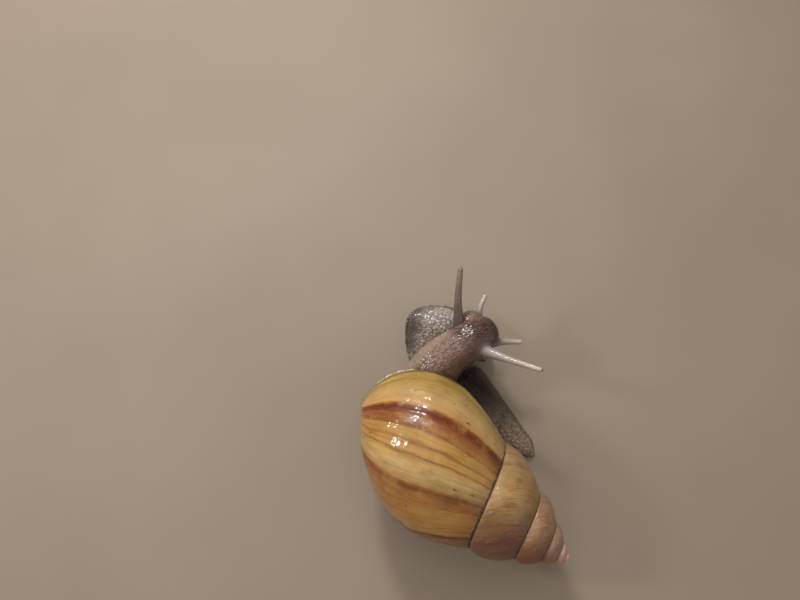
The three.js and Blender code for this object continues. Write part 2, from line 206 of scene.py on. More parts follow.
def ease(x, low, high):
    """A smooth step from 0 at low to 1 at high."""
    t = np.clip((x - low) / (high - low), 0, 1)
    return t * t * (3 - 2 * t)


def bell(distance, width):
    return np.exp(-((distance / width) ** 2))


def hashed(cells, seed):
    """A repeatable random number from 0 to 1 for each cell of a grid."""
    x, y, z = np.moveaxis(cells.astype(np.int64), -1, 0)
    mixed = (x * 73856093) ^ (y * 19349663) ^ (z * 83492791) ^ (seed * 2654435761)
    mixed = (mixed ^ (mixed >> 13)) * 1274126177
    return ((mixed ^ (mixed >> 16)) & 0xFFFFFF) / 0xFFFFFF


def noise(points, size, seed):
    """Smooth noise from -1 to 1, with lumps of a size."""
    place = points / size
    home = np.floor(place)
    share = place - home
    share = share * share * (3 - 2 * share)
    total = 0
    for corner in itertools.product((0, 1), repeat=3):
        weight = np.prod(np.where(corner, share, 1 - share), axis=-1)
        total = total + weight * hashed(home + corner, seed)
    return 2 * total - 1


def pebbles(points, size, seed):
    """Rounded cobbles of a size, scattered at random: 0 in the grooves, 1 on the tops."""
    place = points / size
    home = np.floor(place)
    nearest, second = np.full((2, len(points)), 9.0)
    for step in itertools.product((-1, 0, 1), repeat=3):
        cell = home + step
        centre = cell + np.stack([hashed(cell, seed + k) for k in range(3)], axis=-1)
        distance = np.linalg.norm(place - centre, axis=-1)
        second = np.minimum(second, np.maximum(nearest, distance))
        nearest = np.minimum(nearest, distance)
    return ease(second - nearest, 0, 0.28) * (1 - 1.1 * np.clip(nearest, 0, 0.9) ** 2)


# ---------------- meshes


def add_object(name, data):
    item = bpy.data.objects.new(name, data)
    bpy.context.scene.collection.objects.link(item)
    return item


def row_mesh(name, points, faces, scale=MM, shift=TAIL_TIP):
    """A smooth-shaded object from points in the snail's frame."""
    mesh = bpy.data.meshes.new(name)
    mesh.from_pydata(((np.asarray(points) + shift) * scale).tolist(), [], faces)
    mesh.shade_smooth()
    return add_object(name, mesh)


def read(items, name, width, kind=np.float32):
    """A property of each of a mesh's items, in rows of a width."""
    values = np.empty(len(items) * width, dtype=kind)
    items.foreach_get(name, values)
    return values.reshape(-1, width)


def store(piece, name, values, domain="POINT"):
    """Writes one number for each point or face corner, for the material to read."""
    attribute = piece.data.attributes.new(name, "FLOAT", domain)
    attribute.data.foreach_set("value", np.asarray(values, dtype=np.float32))


def grid_faces(indices, closed=False):
    """Quads over a table of point numbers, one row for each ring."""
    if closed:
        indices = np.concatenate([indices, indices[:, :1]], axis=1)
    a, b = indices[:-1, :-1], indices[:-1, 1:]
    c, d = indices[1:, 1:], indices[1:, :-1]
    return np.stack([a, b, c, d], axis=-1).reshape(-1, 4)


def loft(rings):
    """A closed skin over rings of equal length, each end closed by a fan to its centre."""
    rings = np.asarray(rings)
    count, size = rings.shape[:2]
    points = np.concatenate([rings.reshape(-1, 3), rings[[0, -1]].mean(axis=1)])
    table = np.arange(count * size).reshape(count, size)
    faces = grid_faces(table, closed=True).tolist()
    first, last = count * size, count * size + 1
    for j in range(size):
        k = (j + 1) % size
        faces.append([first, int(table[0, k]), int(table[0, j])])
        faces.append([last, int(table[-1, j]), int(table[-1, k])])
    return points, faces


class Path:
    """A smooth curve through points, measured by shares of its length."""

    def __init__(self, points, samples=60):
        points = np.array(points, dtype=float)
        points = np.vstack([2 * points[0] - points[1], points, 2 * points[-1] - points[-2]])
        gaps = np.sqrt(np.linalg.norm(np.diff(points, axis=0), axis=1))
        line = []
        for i in range(1, len(points) - 2):
            before, here, there, after = points[i - 1:i + 3]
            g0, g1, g2 = gaps[i - 1:i + 2]
            leave = (here - before) / g0 - (there - before) / (g0 + g1) + (there - here) / g1
            arrive = (there - here) / g1 - (after - here) / (g1 + g2) + (after - there) / g2
            t = np.linspace(0, 1, samples, endpoint=i == len(points) - 3)[:, None]
            line.append(
                here * (2 * t**3 - 3 * t**2 + 1) + leave * g1 * (t**3 - 2 * t**2 + t)
                + there * (3 * t**2 - 2 * t**3) + arrive * g1 * (t**3 - t**2)
            )
        self.line = np.vstack(line)
        steps = np.linalg.norm(np.diff(self.line, axis=0), axis=1)
        self.shares = np.concatenate([[0], np.cumsum(steps)]) / steps.sum()
        self.length = steps.sum()

    def at(self, t):
        return np.stack([np.interp(t, self.shares, axis) for axis in self.line.T], axis=-1)

    def heading(self, t):
        return unit(self.at(t + 0.01) - self.at(t - 0.01))

    def nearest(self, points):
        """The share and distance of the path's nearest place to each point."""
        best = np.full(len(points), 1e9)
        share = np.zeros(len(points))
        for t in np.linspace(0, 1, 120):
            distance = np.linalg.norm(points - self.at(t), axis=1)
            closer = distance < best
            best[closer] = distance[closer]
            share[closer] = t
        return share, best


def sweep(path, radii, steps, count):
    """Rings round a path; radii(t) gives half width and half height."""
    angles = circle(count)
    rings = []
    for t in np.linspace(0, 1, steps):
        along = path.heading(t)
        side, up = crosswise(along)
        half_side, half_up = radii(t)
        rings.append(
            path.at(t) + half_side * np.cos(angles)[:, None] * side
            + half_up * np.sin(angles)[:, None] * up
        )
    return loft(rings)


# ---------------- shell


def suture(n):
    return SUTURE_END + SUTURE_REACH * np.exp(-SUTURE_DECAY * n)


def band_height(n):
    return suture(n - 1) - suture(n)


def girth(n):
    return GIRTH * np.exp(-n * (GIRTH_DECAY + GIRTH_DECAY_GROWTH * n))


def widest(n):
    """Where along the axis the whorl is widest."""
    return suture(n) + WIDEST_SHARE * band_height(n) - LIP_SAG * np.exp(-5 * n)


def base_end(n):
    """Where the last turn's base ends."""
    return SHELL_BASE - BASE_RISE * n * n


def lower_radius(n, distance):
    """Radius of the whorl below its widest place."""
    last = n <= 1
    inner = np.exp(4 - 4 * n)
    height = np.where(last, base_end(n) - widest(n), band_height(n) * (0.71 + 0.42 * inner))
    bluntness = np.where(last, 0.42 + 0.5 * n, 0.5 + 0.42 * inner)
    t = np.clip((distance - widest(n)) / height, 0, 1)
    return PILLAR_RADIUS + (girth(n) - PILLAR_RADIUS) * (1 - t * t) ** bluntness


def whorl_radius(n, distance):
    """Radius of the whorl from its suture down to its base."""
    start = lower_radius(n + 1, suture(n))
    t = np.clip((distance - suture(n)) / (widest(n) - suture(n)), 0, 1)
    upper = start + (girth(n) - start) * (1 - (1 - t) ** (1.6 + 0.3 * np.minimum(n, 1)))
    return np.where(distance >= widest(n), lower_radius(n, distance), upper)


def shell_frame():
    """The shell's axis, the direction of its lip, and the third direction of its frame."""
    axis = unit(APEX - AXIS_POINT)
    right, up = crosswise(axis)
    lip = right * math.cos(LIP_LIFT) + up * math.sin(LIP_LIFT)
    return axis, lip, np.cross(axis, lip)


AXIS, LIP, ACROSS = shell_frame()


def shell_point(n, distance, radius):
    """A place on the shell, in the snail's frame."""
    n, distance, radius = (np.asarray(value)[..., None] for value in (n, distance, radius))
    angle = 2 * np.pi * n
    return APEX + radius * (np.cos(angle) * LIP + np.sin(angle) * ACROSS) - distance * AXIS


def descent(n, distance):
    """How far below its suture a place is, in heights of the whorl's band."""
    return (distance - suture(n)) / band_height(n)


def whorl_height(n):
    """How far a whorl reaches below its suture, its covered part included."""
    return np.where(n <= 1, base_end(n) - suture(n), 32.8 * np.exp(0.6 - 0.6 * n))


def growth(n, distance):
    """The turn at which the lip stood here, which a growth line follows."""
    share = (distance - suture(n)) / whorl_height(n)
    straight = n - 0.045 * share
    swept = 2 * straight / (1 + np.sqrt(1 + 3.6 * share * np.maximum(straight, 0)))
    return np.where(swept < 0.46, swept, n - 0.235 * share) - 0.045 * share**8


def shell_relief(n, distance):
    """Height of growth folds and lines, spiral lines, dents and the crimp below each suture."""
    line = growth(n, distance)
    size = girth(n) / girth(0)
    fall = descent(n, distance)

    def field(cells, down, seed):
        """Noise with so many cells round a turn, each so many millimetres long."""
        return noise(np.stack([line * cells, distance / down, 0 * line], axis=-1), 1, seed)

    folds = 0.1 * field(34, 24, 3) + 0.09 * field(130, 5, 5) + 0.035 * field(360, 2.5, 8)
    spirals = 0.06 * field(60, 1.0, 13) * (1 - ease(fall, 1.2, 2.4))
    dents = 0.16 * field(30, 3.4, 17)
    crimp = 0.5 + 0.5 * np.cos(2 * np.pi * line * 120 + 3 * field(30, 9, 19))
    edge = bell(distance - suture(n), 1.1 * size)
    groove = bell(distance - suture(n), 0.3 * size)
    return size * (folds + spirals + dents + 0.13 * edge * crimp - 0.2 * groove)


class Patches:
    """Points and quads, with the growth line and the descent that each corner is painted from."""

    def __init__(self):
        self.points = np.empty((0, 3))
        self.faces, self.lines, self.falls = [], [], []

    def add_points(self, points):
        """Adds points and returns their numbers."""
        numbers = len(self.points) + np.arange(len(points))
        self.points = np.concatenate([self.points, points])
        return numbers

    def add_faces(self, quads, line, fall):
        self.faces.append(quads)
        self.lines.append(np.broadcast_to(line, quads.shape))
        self.falls.append(np.broadcast_to(fall, quads.shape))

    def add_fan(self, first, second, centre, line, fall):
        """Triangles from pairs of neighbouring points to a centre, as quads that repeat it."""
        middle = np.full(len(first), centre)
        self.add_faces(np.stack([first, second, middle, middle], axis=1), line, fall)

    def piece(self, name):
        """The finished piece, flat where it rests; corners that coincide are left out."""
        self.points[:, 2] = np.maximum(self.points[:, 2], 0)
        rows, lines, falls = [], [], []
        columns = [np.concatenate(column).tolist() for column in (self.faces, self.lines, self.falls)]
        for quad, line, fall in zip(*columns):
            corners = [k for k in range(4) if quad[k] not in quad[:k]]
            if len(corners) < 3:
                continue
            rows.append([quad[k] for k in corners])
            lines += [line[k] for k in corners]
            falls += [fall[k] for k in corners]
        piece = row_mesh(name, self.points, rows)
        store(piece, "growth", lines, "CORNER")
        store(piece, "descent", falls, "CORNER")
        return piece


def add_dome(wall, top, apex):
    """The rounded tip of the spire, from the edge of the oldest turn to the apex."""
    tip = wall.points[apex]
    rise = ((wall.points[top] - tip) @ AXIS)[:, None] * AXIS
    reach = wall.points[top] - tip - rise
    rings = [top]
    for turned in np.linspace(0, np.pi / 2, 8)[1:-1]:
        ring = tip + reach * math.cos(turned) + rise * (1 - math.sin(turned))
        rings.append(wall.add_points(ring))
    wall.add_faces(grid_faces(np.array(rings), closed=True), TURNS, 0.5)
    wall.add_fan(rings[-1], np.roll(rings[-1], -1), apex, TURNS, 0.5)


def add_mouth(wall, edge, lip, inner):
    """The mouth: round over the lip, then back along the inside of the last turn.

    The edge holds the points' numbers: down the lip, the pillar's end, and up the inner wall.
    """
    distance = np.concatenate([lip, [PILLAR_END], inner])
    pillar = len(lip)
    on_wall = np.arange(len(distance)) > pillar
    radius = whorl_radius(on_wall * 1.0, distance)
    radius[pillar] = PILLAR_POINT
    part = (distance - suture(0)) / (SHELL_BASE - suture(0))
    thickness = LIP_THICKNESS * (1 - ease(part, 0.985, 1.0)) * ~on_wall
    down, out = np.gradient(distance), np.gradient(radius)
    steepness = np.hypot(down, out) + 1e-9

    # Turns in from the lip, and the share of the lip's thickness that is turned in there.
    profile = [(-0.0007, 0.22), (-0.0007, 0.66), (0.0009, 0.92), (0.005, 1.0)]
    profile += [(depth, 1.0) for depth in np.linspace(0.01, 0.055, 12)]
    rings = [edge]
    for depth, inset in profile:
        moved = suture(depth) + part * (base_end(depth) - suture(depth))
        shrunk = radius * girth(depth) / girth(0)
        shape = np.where(on_wall, shrunk, whorl_radius(max(depth, 0), moved))
        shape[pillar] = PILLAR_POINT
        rings.append(wall.add_points(shell_point(
            depth,
            moved + thickness * inset * out / steepness,
            np.maximum(shape - thickness * inset * down / steepness, PILLAR_POINT),
        )))
    wall.add_faces(grid_faces(np.array(rings), closed=True)[:, ::-1], -1.0, 0.5)
    centre = wall.add_points([wall.points[rings[-1]].mean(axis=0)])[0]
    wall.add_fan(np.roll(rings[-1], -1), rings[-1], centre, -1.0, 0.5)


def build_shell(turn=480, band_rows=44, base_rows=60):
    """The outer wall as one spiral band of so many columns a turn, its tip and its mouth."""
    last = round(TURNS * turn)
    n = np.arange(last + 1)[:, None] / turn
    band = suture(n) + band_height(n) * np.linspace(0, 1, band_rows + 1) ** 1.25
    low_n = n[:turn + 1]
    low_share = np.sin(np.linspace(0, np.pi / 2, base_rows + 1))[1:]
    low = mix(suture(low_n - 1), base_end(low_n), low_share)

    wall = Patches()
    tables, lines, falls = [], [], []
    for rows, where in ((n, band), (low_n, low)):
        radius = whorl_radius(rows, where) + shell_relief(rows, where)
        points = shell_point(rows, where, radius).reshape(-1, 3)
        tables.append(wall.add_points(points).reshape(where.shape))
        lines.append(growth(rows, where).ravel())
        falls.append(descent(rows, where).ravel())
    line_of, fall_of = np.concatenate(lines), np.concatenate(falls)

    # A turn ends on the first row of the turn before it, but is painted by its own last row.
    own, low_table = tables
    table = own.copy()
    table[turn:, -1] = table[:last + 1 - turn, 0]
    joined, own_joined = (
        np.concatenate([numbers[:turn + 1, -1:], low_table], axis=1) for numbers in (table, own)
    )
    for numbers, painted in ((table, own), (joined, own_joined)):
        painted_quads = grid_faces(painted)[:, ::-1]
        wall.add_faces(grid_faces(numbers)[:, ::-1], line_of[painted_quads], fall_of[painted_quads])

    # The pillar's end closes the base; the spire's tip closes the apex.
    base, apex = wall.add_points([shell_point(0, PILLAR_END, 0), shell_point(0, SPIRE_TIP, 0)])
    rim = joined[:, -1]
    wall.add_fan(rim[1:], rim[:-1], base, 0.5, 1.6)
    add_dome(wall, np.concatenate([table[last - turn:, 0], table[last, 1:-1]]), apex)
    edge = np.concatenate([table[0], low_table[0], [base], low_table[turn][::-1]])
    add_mouth(wall, edge, np.concatenate([band[0], low[0]]), low[turn][::-1])
    return wall.piece("shell_wall")


# ---------------- foot


def midline(s):
    """The sole's midline at a distance from the tail tip, and its heading."""
    turn = np.clip((s - FOOT_STRAIGHT) / BEND_RADIUS, 0, BEND_ANGLE)
    beyond = np.maximum(0, s - FOOT_STRAIGHT - BEND_LENGTH)
    heading = np.stack([np.cos(turn), -np.sin(turn), 0 * turn], axis=-1)
    centre = np.stack([
        np.minimum(s, FOOT_STRAIGHT) + BEND_RADIUS * np.sin(turn),
        BEND_RADIUS * (np.cos(turn) - 1),
        LIFT * ease(s, LIFT_START, LIFT_END),
    ], axis=-1)
    return centre + heading * beyond[..., None], heading


def foot_frame(s):
    """Centre, and the directions to the left and up, of the foot's section at s."""
    centre, heading = midline(s)
    lean = LEAN * ease(s, LIFT_START, LIFT_END)
    level = np.cos(lean)
    left = np.stack([-heading[..., 1] * level, heading[..., 0] * level, np.sin(lean)], axis=-1)
    return centre, left, np.cross(heading, left)


def swelling(s, place, reach, amount):
    """A smooth rise round one place along the foot."""
    return amount * bell(s - place, reach)


def sole_half_width(s):
    widening = np.exp(-(TAIL_HALF_WIDTH + TAIL_SPREAD * s) / SPREAD_BLEND)
    spread = -SPREAD_BLEND * np.log(widening + np.exp(-HALF_WIDTH / SPREAD_BLEND))
    tail = np.sqrt(np.clip(s / TAIL_ROUND, 0.1, 1))
    front = np.clip(1 - (FOOT_LENGTH - s) / FRONT_ROUND, 0, END_CUT)
    width = spread - swelling(s, *WAIST) + swelling(s, *FLARE)
    return width * tail * np.sqrt(1 - front**2.1)


def foot_height(s):
    back = BACK_HEIGHT - TAIL_DROP * np.exp(-s / TAIL_RISE) + swelling(s, *HUMP)
    thinning = 1 - FRONT_THINNING * ease(s, FOOT_LENGTH - FRONT_THIN_LENGTH, FOOT_LENGTH)
    nose = np.clip(1 - (FOOT_LENGTH - s) / NOSE_LENGTH, 0, END_CUT)
    return back * np.sqrt(np.clip(s / BACK_ROUND, 0.15, 1)) * thinning * np.sqrt(1 - nose**2)


def foot_loft():
    side = np.cos(np.linspace(0, np.pi, 49))
    sole = np.linspace(-0.97, 0.97, 17)
    rings = []
    for s in np.linspace(0, FOOT_LENGTH, 120):
        centre, left, up = foot_frame(s)
        height = foot_height(s)
        margin = min(MARGIN, 0.3 * height)
        arch = margin + (height - margin) * (1 - np.abs(side) ** 2.2) ** 0.8
        sides = np.concatenate([side, sole]) * sole_half_width(s)
        rises = np.concatenate([arch, np.zeros(len(sole))])
        rings.append(centre + sides[:, None] * left + rises[:, None] * up)
    return loft(rings)


def foot_place(points):
    """For each point its place along the foot, across it and up from its sole."""
    x, y = points[:, 0], points[:, 1]
    turn = np.arctan2(x - FOOT_STRAIGHT, y + BEND_RADIUS)
    bend_end = FOOT_STRAIGHT + BEND_LENGTH
    end, heading = midline(bend_end)
    beyond = (points - end) @ heading
    s = FOOT_STRAIGHT + BEND_RADIUS * np.clip(turn, 0, BEND_ANGLE)
    s = np.where((turn > BEND_ANGLE) | (turn < -2), bend_end + np.maximum(beyond, 0), s)
    s = np.clip(np.where((x < FOOT_STRAIGHT) & (y > -16), x, s), 0, FOOT_LENGTH)
    centre, left, up = foot_frame(s)
    across = ((points - centre) * left).sum(axis=1)
    rise = ((points - centre) * up).sum(axis=1)
    return s, across, rise


# ---------------- flesh

neck_path = Path(NECK_PATH)
feeler_paths = {name: Path(feeler[0]) for name, feeler in FEELERS.items()}


def neck_radii(t):
    taper = mix(NECK_RADIUS, HEAD_RADIUS, ease(t, 0.25, 0.6))
    snout = 1 - SNOUT_TAPER * ease(t, 0.72, 0.93)
    end = np.clip(1 - (1 - t) / SNOUT_ROUND, 0, 1)
    half = taper * snout * math.sqrt(max(0.02, 1 - end**2.4))
    return half, NECK_FLATNESS * half


def feeler_radii(name):
    root, middle, tip = FEELERS[name][1:4]

    def radii(t):
        shaft = middle + (root - middle) * math.exp(-FEELER_TAPER * t)
        bulb = mix(shaft, tip, ease(t, BULB_START, BULB_END))
        end = np.clip((t - FEELER_ROUND) / (1 - FEELER_ROUND), 0, 1)
        return (bulb * math.sqrt(max(0.02, 1 - end**2)),) * 2

    return radii


def stalk_loft():
    angles = circle(64)
    rings = []
    for z in np.linspace(STALK[0, 0], STALK[-1, 0], 40):
        x, y, half_x, half_y = (np.interp(z, STALK[:, 0], STALK[:, k]) for k in range(1, 5))
        across, along = x + half_x * np.cos(angles), y + half_y * np.sin(angles)
        rings.append(np.stack([across, along, 0 * angles + z], axis=-1))
    return loft(rings)


def cushion(centre, half, turn):
    """A rounded lump, turned about the vertical."""
    rings = []
    angles = circle(24)
    for rise in np.linspace(-0.98, 0.98, 16):
        width = math.sqrt(1 - rise * rise)
        x = half[0] * width * np.cos(angles)
        y = half[1] * width * np.sin(angles)
        across = x * math.cos(turn) - y * math.sin(turn)
        along = x * math.sin(turn) + y * math.cos(turn)
        rings.append(np.array(centre) + np.stack([across, along, 0 * x + half[2] * rise], axis=-1))
    return loft(rings)


def mantle_loft():
    """The mantle's collar, which fills the shell's mouth and swells a little out of it."""
    out = np.sin(np.linspace(0, np.pi / 2, 49))
    back = np.linspace(1, 0, 24)
    rings = []
    for depth, inset in COLLAR:
        top = suture(0) + COLLAR_TOP + 2 * inset
        lip_side = mix(top, SHELL_BASE - LIP_ROOM - inset, out)
        wall_side = mix(top, SHELL_BASE - WALL_ROOM - inset, back)
        radius = np.concatenate([
            whorl_radius(0, lip_side) - LIP_THICKNESS - inset,
            np.maximum(whorl_radius(1.0, wall_side), PILLAR_ROOM) + inset,
        ]) * girth(depth) / girth(0)
        distances = np.concatenate([lip_side, wall_side])
        rings.append(shell_point(depth, distances, radius))
    rings = np.array(rings)
    table = np.arange(rings[..., 0].size).reshape(rings.shape[:2])
    faces = grid_faces(table, closed=True).tolist()
    for ring, turned in ((0, True), (-1, False)):
        flat = [Vector(((p - APEX) @ LIP, (p - APEX) @ AXIS, 0)) for p in rings[ring]]
        for triangle in tessellate_polygon([flat]):
            faces.append([int(table[ring, k]) for k in (triangle[::-1] if turned else triangle)])
    return rings.reshape(-1, 3), faces


def mantle_edge_loft():
    """The beaded edge of the mantle, which laps over the lip beside the neck."""
    distances = np.linspace(BEADS_START, BEADS_END, 90)
    line = Path(shell_point(-0.004, distances, whorl_radius(0, distances) - 0.2), samples=4)

    def radii(t):
        place = t * line.length
        lumps = 0.08 * math.cos(5.5 * place + 2 * math.sin(place)) + 0.14 * math.sin(1.7 * place)
        radius = (BEAD_RADIUS + lumps) * math.sqrt(max(0.02, 1 - abs(2 * t - 1) ** 4))
        return radius, 1.1 * radius

    return sweep(line, radii, 200, 14)


def one_mesh(lofts):
    points, faces, start = [], [], 0
    for loft_points, loft_faces in lofts:
        points.append(loft_points)
        faces += [[start + k for k in face] for face in loft_faces]
        start += len(loft_points)
    return np.concatenate(points), faces


def voxel_skin(lofts):
    """One closed skin round overlapping closed lofts, as points and faces."""
    points, faces = one_mesh(lofts)
    raw = row_mesh("raw_flesh", points, faces, scale=1, shift=0)
    remesh = raw.modifiers.new("one_skin", "REMESH")
    remesh.mode = "VOXEL"
    remesh.voxel_size = SKIN_VOXEL
    evaluated = raw.evaluated_get(bpy.context.evaluated_depsgraph_get())
    mesh = evaluated.to_mesh()
    points = read(mesh.vertices, "co", 3).astype(float)
    edges = read(mesh.edges, "vertices", 2, np.int32)
    polygons = [list(polygon.vertices) for polygon in mesh.polygons]
    evaluated.to_mesh_clear()
    bpy.data.objects.remove(raw)
    return points, edges, polygons


def smoothed(points, edges, strength, rounds):
    """Points drawn towards their neighbours, each by its own strength."""
    count = np.bincount(edges.ravel(), minlength=len(points))[:, None]
    for _ in range(rounds):
        total = np.stack([
            np.bincount(edges[:, 0], points[edges[:, 1], k], len(points))
            + np.bincount(edges[:, 1], points[edges[:, 0], k], len(points))
            for k in range(3)
        ], axis=-1)
        points = mix(points, total / count, strength[:, None])
    return points


def point_normals(points, polygons):
    """The outward direction at each point."""
    mesh = bpy.data.meshes.new("for_normals")
    mesh.from_pydata(points.tolist(), [], polygons)
    normals = read(mesh.vertices, "normal", 3)
    bpy.data.meshes.remove(mesh)
    return normals


def distances_to(lofts, points):
    """For each named loft the distance of each point from its surface."""
    places = [Vector(point) for point in points]
    result = {}
    for name, (loft_points, loft_faces) in lofts.items():
        tree = BVHTree.FromPolygons([Vector(p) for p in loft_points], loft_faces)
        result[name] = np.array([tree.find_nearest(place)[3] for place in places])
    return result


def neck_place(points):
    """For each point its share of the way along the neck, and its place in the neck's frame."""
    t, _ = neck_path.nearest(points)
    along = neck_path.heading(t)
    side, up = crosswise(along)
    out = points - neck_path.at(t)
    place = [t * neck_path.length, (out * side).sum(axis=1), (out * up).sum(axis=1)]
    return t, np.stack(place, axis=-1)


def flesh_lofts():
    """The closed lofts that the one skin covers."""
    return {
        "foot": foot_loft(),
        "stalk": stalk_loft(),
        "neck": sweep(neck_path, neck_radii, 90, 56),
        "feelers": one_mesh([
            sweep(path, feeler_radii(name), 90, 24) for name, path in feeler_paths.items()
        ]),
        "shoulder": cushion(SHOULDER_CENTRE, SHOULDER_HALF, SHOULDER_TURN),
        "lips": one_mesh([
            cushion(LIP_CENTRE + side * LIP_APART, LIP_HALF, side * LIP_SPLAY) for side in (-1, 1)
        ]),
        "collar": mantle_loft(),
        "beads": mantle_edge_loft(),
    }


def run_together(points, edges, away):
    """The points without the remesh's steps, and with the flesh run together where bodies meet."""
    for _ in range(3):
        points = smoothed(points, edges, np.full(len(points), 0.5), 1)
        points = smoothed(points, edges, np.full(len(points), -0.52), 1)
    bodies = [away[name] for name in ("foot", "stalk", "neck", "shoulder", "lips")]
    second_nearest = np.sort(bodies, axis=0)[1]
    meeting = (1 - ease(second_nearest, 0.5, 2.2)) * ease(away["feelers"], 0.5, 2)
    feeler_root = bell(away["feelers"], 1.0) * bell(away["neck"], 1.0)
    meeting = np.maximum(meeting, 0.8 * feeler_root)
    mantle = np.minimum(away["collar"], away["beads"])
    return smoothed(points, edges, 0.5 * meeting * ease(mantle, 0.2, 1), 24)


def feeler_marks(points):
    """For each point its place on its feeler, the feeler's paleness, and the rings round it."""
    along, paleness, rings = np.zeros((3, len(points)))
    wobble = 2 * noise(points, 1.5, 37)
    for name, path in feeler_paths.items():
        place, distance = path.nearest(points)
        near = distance < 3
        along[near] = place[near]
        paleness[near] = FEELERS[name][4]
        rings += near * np.cos(2 * np.pi * place * path.length / RING + wobble)
    return along, paleness, rings


def build_skin():
    """Foot, stalk, neck, head, feelers, lips and mantle as one skin with its relief."""
    lofts = flesh_lofts()
    points, edges, polygons = voxel_skin(lofts.values())
    away = distances_to(lofts, points)
    points = run_together(points, edges, away)
    normals = point_normals(points, polygons)

    # How much each point belongs to each body, and its place on the foot and the neck.
    nearness = {name: np.exp(-distance / SKIN_BLEND) for name, distance in away.items()}
    total = sum(nearness.values())
    share = {name: near / total for name, near in nearness.items()}
    s, across, rise = foot_place(points)
    t, neck_frame = neck_place(points)
    foot = share["foot"] + share["stalk"]
    neck = share["neck"] + share["shoulder"] + share["lips"]
    sole = share["foot"] * (1 - ease(rise, 0.05, 0.4))
    snout = neck * ease(t, 0.84, 0.93)
    # Painted shade: the neck's lower right side, turned from the light, is painted darker and has
    # smoother relief.
    shaded_flank = neck * ease(-neck_frame[:, 1], 0.5, 5)
    # Painted sheen: the neck's upper left side, towards the light, is painted paler up to the head.
    painted_sheen_and_shoulder = neck * ease(neck_frame[:, 1], 2.2, 5.2) * (1 - ease(t, 0.55, 0.68))

    # The foot's rim fades out round the bend, and takes in the whole of the front end.
    # The rim's colour is painted shade, darker on the edges that slope down and on the front end; the
    # rim also has lower relief.
    rim = share["foot"] * ease(np.abs(across) / sole_half_width(s), 0.6, 0.95)
    rim *= 1 - 0.8 * ease(s, 36, 40) * (1 - ease(s, 42, 44.5))
    rim = np.maximum(rim, share["foot"] * ease(s, FOOT_LENGTH - 2.5, FOOT_LENGTH - 0.8))

    # Tubercles, drawn out along the neck.
    coarse = pebbles(points + 0.3 * noise(points, 2, 7)[:, None], COARSE_TUBERCLE, 11)
    fine = pebbles(neck_frame * [0.55, 1, 1], FINE_TUBERCLE, 23)
    relief = mix(fine, coarse, ease(foot, 0.3, 0.7))
    coarse_depth = COARSE_DEPTH * foot * (1 - sole) * (1 - 0.7 * rim)
    fine_depth = FINE_DEPTH * (neck - 0.85 * snout) * (1 - 0.6 * shaded_flank)
    height = (coarse_depth + fine_depth) * (relief - 0.7)

    # The foot's edge is a fluted fringe below a groove.
    fringe = share["foot"] * bell(rise - 1.0, 0.55) * (1 - sole)
    height += fringe * 0.1 * np.cos(2 * np.pi * s / FLUTE + 1.5 * noise(points, 3, 31))
    height -= share["foot"] * GROOVE_DEPTH * bell(rise - GROOVE_RISE, 0.26)

    # Fine rings round the feelers, wrinkles across the neck's root, and slow unevenness.
    feeler_along, paleness, rings = feeler_marks(points)
    wrinkles = np.cos(2 * np.pi * t * neck_path.length / WRINKLE)
    height += 0.02 * share["feelers"] * rings
    height += 0.1 * neck * (1 - ease(t, 0.2, 0.5)) * wrinkles
    height += 0.12 * noise(points, 4.5, 41) * (foot + neck) * (1 - sole)
    points = points + normals * height[:, None]
    points[:, 2] = np.maximum(points[:, 2], 0)

    piece = row_mesh("skin", points, polygons)
    for name, values in {
        "relief": relief,
        "neck": neck,
        "head": neck * ease(t, 0.58, 0.74) * (1 - 0.7 * share["shoulder"]),
        "shaded_flank": shaded_flank,
        "painted_sheen_and_shoulder": np.maximum(painted_sheen_and_shoulder, 0.6 * share["shoulder"]),
        "rim": rim,
        "snout": snout,
        "pore": bell(np.linalg.norm(points - HEAD_PORE, axis=1), PORE_RADIUS),
        "feeler": share["feelers"],
        "along": feeler_along,
        "pale": paleness,
        "mantle": ease(share["collar"] + share["beads"], 0.4, 0.9),
        "beads": ease(share["beads"], 0.2, 0.6),
        "sole": sole,
        "front": ease(s, 36, 42) * foot,
        "shade": ease(s, 42.5, 45) * ease(across, 11, 13.2) * foot,
        "tail": 1 - ease(s, 2, 27),
    }.items():
        store(piece, name, values)
    return piece


def build_eye(name):
    """A small dark dome set in the tip of an upper feeler."""
    path = feeler_paths[name]
    along = path.heading(1.0)
    side, up = crosswise(along)
    centre = path.at(1.0) - EYE_SINK * along + EYE_LIFT * up
    angles = circle(32)[:, None]
    outward = np.cos(angles) * side + np.sin(angles) * up
    rings = []
    for turn in np.linspace(-1.35, 1.5, 20):
        rings.append(centre + EYE_RADIUS * (math.cos(turn) * outward + math.sin(turn) * along))
    points, faces = loft(rings)
    return row_mesh(f"eye_{name}", points, faces)


# ---------------- materials


def linear(colour):
    """A screen colour, 0 to 255, as the renderer's linear colour."""
    shares = [part / 255 for part in colour]
    return [c / 12.92 if c <= 0.04045 else ((c + 0.055) / 1.055) ** 2.4 for c in shares]


